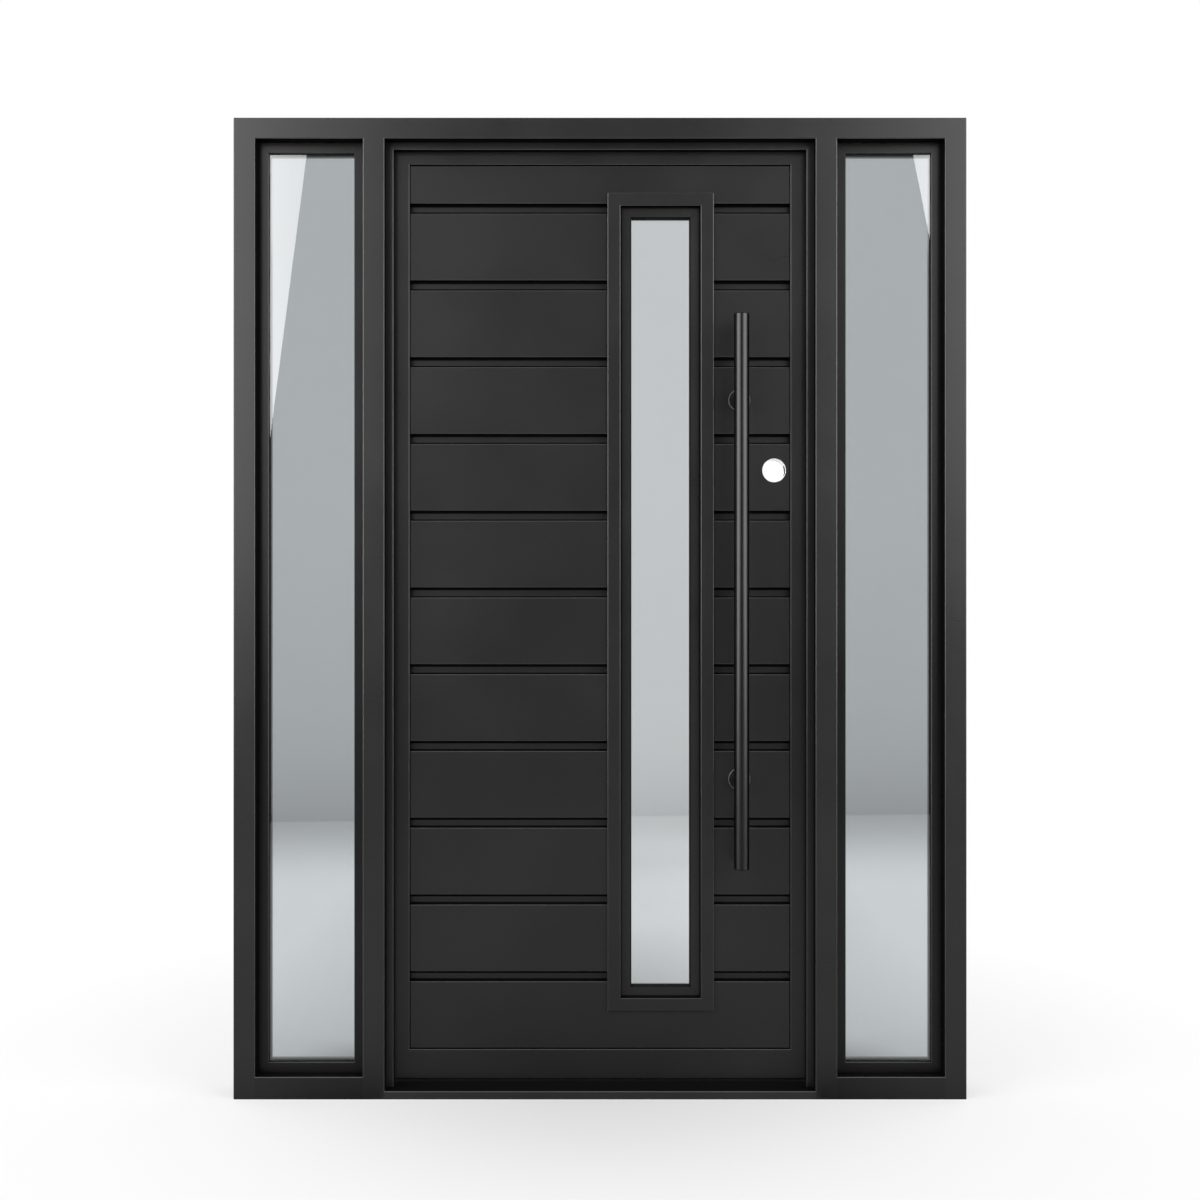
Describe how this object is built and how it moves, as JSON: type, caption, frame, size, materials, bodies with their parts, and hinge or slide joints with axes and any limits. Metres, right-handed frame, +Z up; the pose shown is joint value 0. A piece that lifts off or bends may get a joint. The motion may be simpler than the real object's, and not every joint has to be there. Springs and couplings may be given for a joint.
{
  "type": "entry door with sidelights",
  "caption": "Steel entry unit with two fixed glazed sidelights and one inward-opening planked leaf with a narrow light, a long round pull bar and a bored lock preparation.",
  "frame": {"origin": "middle of the unit's underside, on the floor, at half the depth of the frame", "axes": "+X to the right seen from outside, the exterior faces -Y, +Z up"},
  "size_m": [1.564, 0.1485, 2.094],
  "materials": {
    "frame_paint": "satin",
    "bead_paint": "satin",
    "leaf_paint": "satin",
    "plank_paint": "satin",
    "threshold_steel": "satin",
    "pull_steel": "semi-gloss",
    "hinge_steel": "semi-gloss",
    "seal": "matte",
    "glass": "polished"
  },
  "bodies": {
    "frame": {"left_jamb": "frame_paint", "right_jamb": "frame_paint", "head": "frame_paint", "left_mullion": "frame_paint", "right_mullion": "frame_paint", "left_sill": "frame_paint", "right_sill": "frame_paint", "threshold": "threshold_steel", "door_stop_left": "frame_paint", "door_stop_right": "frame_paint", "door_stop_head": "frame_paint", "weatherstrip": "seal", "left_sidelight_glass": "glass", "left_sidelight_beads_exterior": "bead_paint", "left_sidelight_beads_interior": "bead_paint", "right_sidelight_glass": "glass", "right_sidelight_beads_exterior": "bead_paint", "right_sidelight_beads_interior": "bead_paint", "frame_hinges": "hinge_steel"},
    "leaf": {"hinge_stile": "leaf_paint", "lock_stile": "leaf_paint", "top_rail": "leaf_paint", "bottom_rail": "leaf_paint", "plank_row_01": "plank_paint", "plank_row_02": "plank_paint", "plank_row_03": "plank_paint", "plank_row_04": "plank_paint", "plank_row_05": "plank_paint", "plank_row_06": "plank_paint", "plank_row_07": "plank_paint", "plank_row_08": "plank_paint", "plank_row_09": "plank_paint", "plank_row_10": "plank_paint", "plank_row_11": "plank_paint", "plank_row_12": "plank_paint", "lock_plank": "plank_paint", "light_surround_exterior": "leaf_paint", "light_surround_interior": "leaf_paint", "light_beads_exterior": "bead_paint", "light_beads_interior": "bead_paint", "light_glass": "glass", "pull_bar": "pull_steel", "pull_posts": "pull_steel", "door_sweep": "seal", "leaf_hinges": "hinge_steel"}
  },
  "joints": [
    {"name": "door_swing", "type": "hinge", "parent": "frame", "child": "leaf", "pos_m": [-0.45725, 0.064, 1], "axis": [0, 0, 1], "range_deg": [0, 110]}
  ]
}
